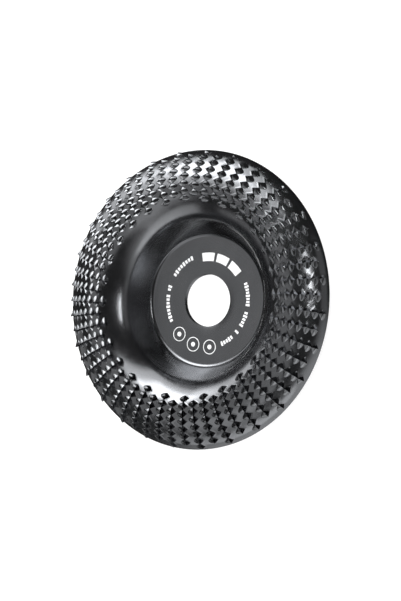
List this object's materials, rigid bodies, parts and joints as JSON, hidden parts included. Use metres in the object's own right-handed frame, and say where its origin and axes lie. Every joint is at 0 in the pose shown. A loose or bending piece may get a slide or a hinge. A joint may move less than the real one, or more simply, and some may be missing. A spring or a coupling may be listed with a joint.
{
  "type": "angle grinder carving disc",
  "caption": "Round dished carving disc with a recessed flat hub, a central bore and rows of rasp teeth over its arched rim, for shaping wood with an angle grinder.",
  "frame": {"origin": "centre of the bore on the back face of the hub, the face that seats on the grinder's flange", "axes": "+Z along the bore axis towards the toothed side; +X and +Y lie in the plane of the hub"},
  "size_m": [0.125, 0.125, 0.023],
  "materials": {
    "disc_steel": "gloss black oxide on pressed steel",
    "tooth_steel": "gloss black on hardened steel, bright at the cutting edges",
    "marking": "thin matt white print"
  },
  "bodies": {
    "root": {"disc_body": "disc_steel", "tooth_row_01": "tooth_steel", "tooth_row_02": "tooth_steel", "tooth_row_03": "tooth_steel", "tooth_row_04": "tooth_steel", "tooth_row_05": "tooth_steel", "tooth_row_06": "tooth_steel", "tooth_row_07": "tooth_steel", "tooth_row_08": "tooth_steel", "tooth_row_09": "tooth_steel", "tooth_row_10": "tooth_steel", "tooth_row_11": "tooth_steel", "tooth_row_12": "tooth_steel", "tooth_row_13": "tooth_steel", "tooth_row_14": "tooth_steel", "tooth_row_15": "tooth_steel", "tooth_row_16": "tooth_steel", "tooth_row_17": "tooth_steel", "tooth_row_18": "tooth_steel", "tooth_row_19": "tooth_steel", "tooth_row_20": "tooth_steel", "tooth_row_21": "tooth_steel", "tooth_row_22": "tooth_steel", "tooth_row_23": "tooth_steel", "tooth_row_24": "tooth_steel", "tooth_row_25": "tooth_steel", "tooth_row_26": "tooth_steel", "tooth_row_27": "tooth_steel", "tooth_row_28": "tooth_steel", "tooth_row_29": "tooth_steel", "tooth_row_30": "tooth_steel", "tooth_row_31": "tooth_steel", "tooth_row_32": "tooth_steel", "tooth_row_33": "tooth_steel", "tooth_row_34": "tooth_steel", "tooth_row_35": "tooth_steel", "tooth_row_36": "tooth_steel", "tooth_row_37": "tooth_steel", "tooth_row_38": "tooth_steel", "tooth_row_39": "tooth_steel", "tooth_row_40": "tooth_steel", "tooth_row_41": "tooth_steel", "tooth_row_42": "tooth_steel", "tooth_row_43": "tooth_steel", "tooth_row_44": "tooth_steel", "tooth_row_45": "tooth_steel", "tooth_row_46": "tooth_steel", "tooth_row_47": "tooth_steel", "tooth_row_48": "tooth_steel", "tooth_row_49": "tooth_steel", "tooth_row_50": "tooth_steel", "tooth_row_51": "tooth_steel", "tooth_row_52": "tooth_steel", "tooth_row_53": "tooth_steel", "tooth_row_54": "tooth_steel", "tooth_row_55": "tooth_steel", "tooth_row_56": "tooth_steel"}
  },
  "joints": []
}
